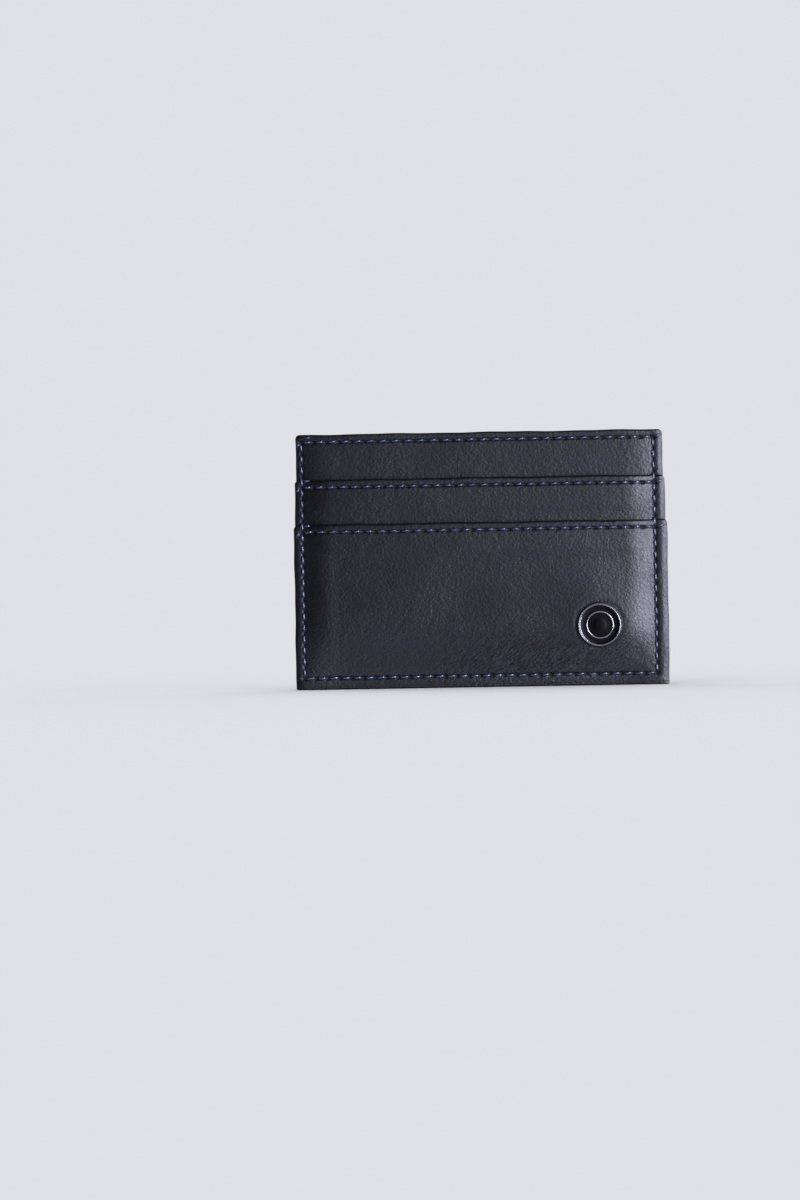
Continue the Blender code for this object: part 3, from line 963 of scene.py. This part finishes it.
BADGE_HEIGHT = 1.05
BADGE_SUNK = 0.20
POST_RADIUS = 0.80
WASHER_BORE = 0.85
WASHER_RADIUS = (highest("badge_washer").x - lowest("badge_washer").x) / 2
WASHER_THICK = highest("badge_washer").y - lowest("badge_washer").y
BADGE_TURNS = 96


def washer_back():
    """How far out the washer's back lies: just inside the leather's own back, all round."""
    around = np.linspace(0, math.tau, 24, endpoint=False)
    reach = np.append(np.full(24, WASHER_RADIUS), 0.0)
    around = np.append(around, 0.0)
    x = BADGE_CENTRE_X + reach * np.cos(around)
    z = BADGE_CENTRE_Z + reach * np.sin(around)
    return float(pocket_inner(x, z).max()) + 0.02


def washer():
    """A flat ring let into the back of the pocket leather, round the badge's post."""
    BUILDING["half"] = "front"
    back = washer_back()
    front = back + WASHER_THICK
    profile = [(WASHER_BORE, back), (WASHER_RADIUS, back), (WASHER_RADIUS, front), (WASHER_BORE, front)]
    places, faces = [], []
    for radius, depth in profile:
        for turn in range(BADGE_TURNS):
            angle = turn / BADGE_TURNS * math.tau
            x, z = radius * math.cos(angle), radius * math.sin(angle)
            places.append((BADGE_CENTRE_X + x, -depth, BADGE_CENTRE_Z + z))
    for ring in range(4):
        near, far = ring * BADGE_TURNS, (ring + 1) % 4 * BADGE_TURNS
        for turn in range(BADGE_TURNS):
            after = (turn + 1) % BADGE_TURNS
            faces.append([near + turn, far + turn, far + after, near + after])
    thing = mesh_object("front_badge_washer", places, faces, WASHER_LOOK, -1)
    thing.data.set_sharp_from_angle(angle=math.radians(50))
    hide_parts("badge_washer")
    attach(thing, "root")


def badge():
    """A turned medallion: rolled rim, sunk floor, one raised ring and a low dome."""
    BUILDING["half"] = "front"
    at = np.array([BADGE_CENTRE_X]), np.array([BADGE_CENTRE_Z])
    r, top = BADGE_RADIUS, float(pressed(POCKET, *at)[0]) + BADGE_HEIGHT
    base, floor = top - BADGE_HEIGHT - BADGE_SUNK, top - 0.42
    end = washer_back()
    profile = [(0, end, 0), (POST_RADIUS, end, 0), (POST_RADIUS, base, 0)]
    profile += [(r - 0.25, base, 1), (r - 0.08, base + 0.03, 1), (r, base + 0.14, 0.8)]
    profile += [(r, top - 0.34, 0.9)]
    for step in range(1, 7):
        angle = step / 6 * math.pi / 2
        profile.append((r - 0.34 * (1 - math.cos(angle)), top - 0.34 * (1 - math.sin(angle)), 0.9))
    profile += [(r - 0.42, top - 0.02, 0.4), (r - 0.50, top - 0.05, 0.9)]
    profile += [(r - 0.58, top - 0.02, 0.3), (r - 0.70, top + 0.01, 0), (r - 0.80, top - 0.06, 0.2)]
    profile += [(r - 0.90, floor + 0.06, 1), (r - 1.02, floor, 1), (4.10, floor, 1)]
    for step in range(7):
        angle = math.pi * step / 6
        high = math.sin(angle) ** 0.8
        profile.append((3.52 + 0.27 * math.cos(angle), floor + 0.30 * high, 1 - high))
    profile += [(3.05, floor, 1), (1.95, floor, 1)]
    for step in range(1, 7):
        reach = 1.7 * math.cos(step / 6 * math.pi / 2)
        rise = 0.16 * math.sin(step / 6 * math.pi / 2)
        profile.append((reach, floor + rise, 1.0))
    places, shade, faces = [], [], []
    for radius, depth, dark in profile[1:-1]:
        for turn in range(BADGE_TURNS):
            angle = turn / BADGE_TURNS * math.tau
            x, z = radius * math.cos(angle), radius * math.sin(angle)
            places.append((BADGE_CENTRE_X + x, -depth, BADGE_CENTRE_Z + z))
            shade.append(dark)
    for _, depth, dark in (profile[0], profile[-1]):
        places.append((BADGE_CENTRE_X, -depth, BADGE_CENTRE_Z))
        shade.append(dark)
    rings = len(profile) - 2
    for ring in range(rings - 1):
        for turn in range(BADGE_TURNS):
            after = (turn + 1) % BADGE_TURNS
            a, b = ring * BADGE_TURNS + turn, ring * BADGE_TURNS + after
            faces.append([a, a + BADGE_TURNS, b + BADGE_TURNS, b])
    last = (rings - 1) * BADGE_TURNS
    for turn in range(BADGE_TURNS):
        after = (turn + 1) % BADGE_TURNS
        faces.append([len(places) - 2, turn, after])
        faces.append([len(places) - 1, last + after, last + turn])
    thing = mesh_object("front_badge", places, faces, BADGE_LOOK, -1)
    attribute = thing.data.attributes.new("recess", "FLOAT", "POINT")
    attribute.data.foreach_set("value", shade)
    thing.data.set_sharp_from_angle(angle=math.radians(50))
    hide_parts("badge_medallion")
    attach(thing, "root")
    return thing


# Building both halves


def build_half(half_name):
    BUILDING["half"] = half_name
    back = half_name == "back"
    cloth_half = highest(f"{half_name}_compartment_lining").x
    span = (lowest(f"{half_name}_compartment_lining").z, highest(f"{half_name}_compartment_lining").z)
    node = f"{half_name}_compartment_lining"
    cloth = thin_layer(
        f"{half_name}_compartment_cloth", half_name, LINING_LOOK, cloth_half, span, core, LINING, node
    )
    board_node = f"{half_name}_body_board"
    low, high = lowest(board_node), highest(board_node)
    board = thin_layer(
        f"{half_name}_stiffener",
        half_name,
        BOARD_LOOK,
        high.x,
        (low.z, high.z),
        board_inner,
        BOARD,
        board_node,
    )
    pocket_node = f"{half_name}_pocket_lining"
    low, high = lowest(pocket_node), highest(pocket_node)
    pocket_cloth = thin_layer(
        f"{half_name}_pocket_cloth",
        half_name,
        LINING_LOOK,
        high.x,
        (low.z, high.z),
        lambda x, z: pocket_inner(x, z) - GLUE - LINING,
        LINING,
        pocket_node,
    )
    slot_cloth = folded_layer(half_name, LINING_LOOK)
    shown = {"body": MIDDLE.top - 1.0, "middle": POCKET.top - 1.0, "pocket": 0.0}
    skins = {}
    for panel in (BODY, MIDDLE, POCKET):
        skins[panel.name] = leather_panel(half_name, panel, shown[panel.name], LEATHER_LOOK)
    for thing, slot in (
        (cloth, "lining"),
        (pocket_cloth, "lining"),
        (slot_cloth, "lining"),
        (board, "board"),
        *((skin, "leather") for skin in skins.values()),
    ):
        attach(thing, "root")

    node = f"{half_name}_upper_slot_lining"

    seed = 20 if back else 0
    sew_row(half_name, BODY, "top_edge", seed + 1)
    sew_row(half_name, MIDDLE, "middle_mouth", seed + 2)
    sew_row(half_name, POCKET, "pocket_mouth", seed + 3)


build_half("front")
build_half("back")
sew_round("front", "perimeter_needle_thread", 11)
sew_round("back", "perimeter_bobbin_thread", 12)
badge()
washer()


# The studio

FLOOR_RADIUS = 2.3


def studio():
    world = bpy.data.worlds.new("studio")
    bpy.context.scene.world = world
    world.use_nodes = True
    tree = Tree(world.node_tree)
    back = world.node_tree.nodes["Background"]
    seen = tree.node("ShaderNodeLightPath", out="Is Camera Ray")
    soft, plain = rgb(0.925, 0.945, 1.0), rgb(0.738, 0.750, 0.791)
    tree.put(back.inputs["Color"], tree.mix(seen, soft, plain))
    world.cycles_visibility.glossy = False

    tree, surface, made, place = material("pale_floor", roughness=0.9)
    mottle = tree.noise(place, 3.0)
    tone = tree.mix(mottle, rgb(0.797, 0.793, 0.790), rgb(0.800, 0.796, 0.793))
    tree.put(surface.inputs["Base Color"], tone)
    surface.inputs["Specular IOR Level"].default_value = 0.0
    bpy.ops.mesh.primitive_circle_add(vertices=96, radius=FLOOR_RADIUS, fill_type="NGON")
    floor = bpy.context.object
    floor.name = "floor"
    floor.data.materials.append(made)
    floor.visible_glossy = False
    floor.visible_shadow = False
    bpy.context.scene.view_settings.view_transform = "Standard"


def softbox(name, azimuth, elevation, distance, size, radiance, aim, tint=(1.0, 1.0, 1.0)):
    """A soft panel that shows in gloss: azimuth 0 is in front, and 90 to the right."""
    a, e = math.radians(azimuth), math.radians(elevation)
    way = Vector((math.sin(a) * math.cos(e), -math.cos(a) * math.cos(e), math.sin(e)))
    lamp = bpy.data.lights.new(name, "AREA")
    lamp.shape = "RECTANGLE"
    lamp.size, lamp.size_y = size
    lamp.energy = radiance * math.pi * size[0] * size[1]
    lamp.color = tint
    thing = bpy.data.objects.new(name, lamp)
    thing.location = aim + way * distance
    thing.rotation_euler = way.to_track_quat("Z", "Y").to_euler()
    thing.visible_diffuse = False
    thing.visible_camera = False
    bpy.context.scene.collection.objects.link(thing)
    return thing


def camera():
    """Nearly square on and level with the holder, which stands right of the middle."""
    roll, lens, wide, tall = math.radians(1.0), 120.0, 36.0, 0.3208
    aside, below, face = 0.0217, 0.0109, -0.0043
    away = lens / wide * tall
    right = Vector((math.cos(roll), 0, -math.sin(roll)))
    up = Vector((math.sin(roll), 0, math.cos(roll)))
    centre = Vector((0, face, (POCKET.foot + BODY.top) / 2 * MM))
    aim = centre - right * aside - up * below
    eye = bpy.data.cameras.new("camera")
    eye.lens, eye.sensor_width, eye.sensor_fit = lens, wide, "AUTO"
    eye.clip_start, eye.clip_end = 0.05, 20.0
    thing = bpy.data.objects.new("camera", eye)
    bpy.context.scene.collection.objects.link(thing)
    turn = Matrix((right, up, right.cross(up))).transposed()
    thing.matrix_world = Matrix.Translation(aim + right.cross(up) * away) @ turn.to_4x4()
    bpy.context.scene.camera = thing


studio()
middle = (cad_box[0] + cad_box[1]) / 2
softbox("front_fill", 8, 4, 1.5, (0.8, 1.1), 0.46, middle, (0.84, 0.97, 1.36))
softbox("near_fill", 32, 5, 0.45, (0.30, 0.5), 0.36, middle, (1.0, 0.98, 1.18))
softbox("right_key", 38, 8, 1.2, (0.32, 0.9), 21.5, middle, (0.93, 0.97, 1.17))
softbox("right_rim", 100, 8, 1.2, (0.5, 0.9), 4.0, middle)
softbox("back_key", 150, 10, 1.2, (0.6, 0.9), 9.0, middle, (0.94, 1.0, 1.08))
softbox("low_fill", 5, -35, 1.0, (1.0, 0.4), 1.4, middle, (0.9, 0.95, 1.25))
softbox("low_left", -50, -28, 1.0, (0.6, 0.4), 0.8, middle, (0.9, 0.97, 1.2))
softbox("back_fill", 190, 5, 1.5, (1.0, 1.0), 0.6, middle, (0.88, 0.98, 1.3))
camera()
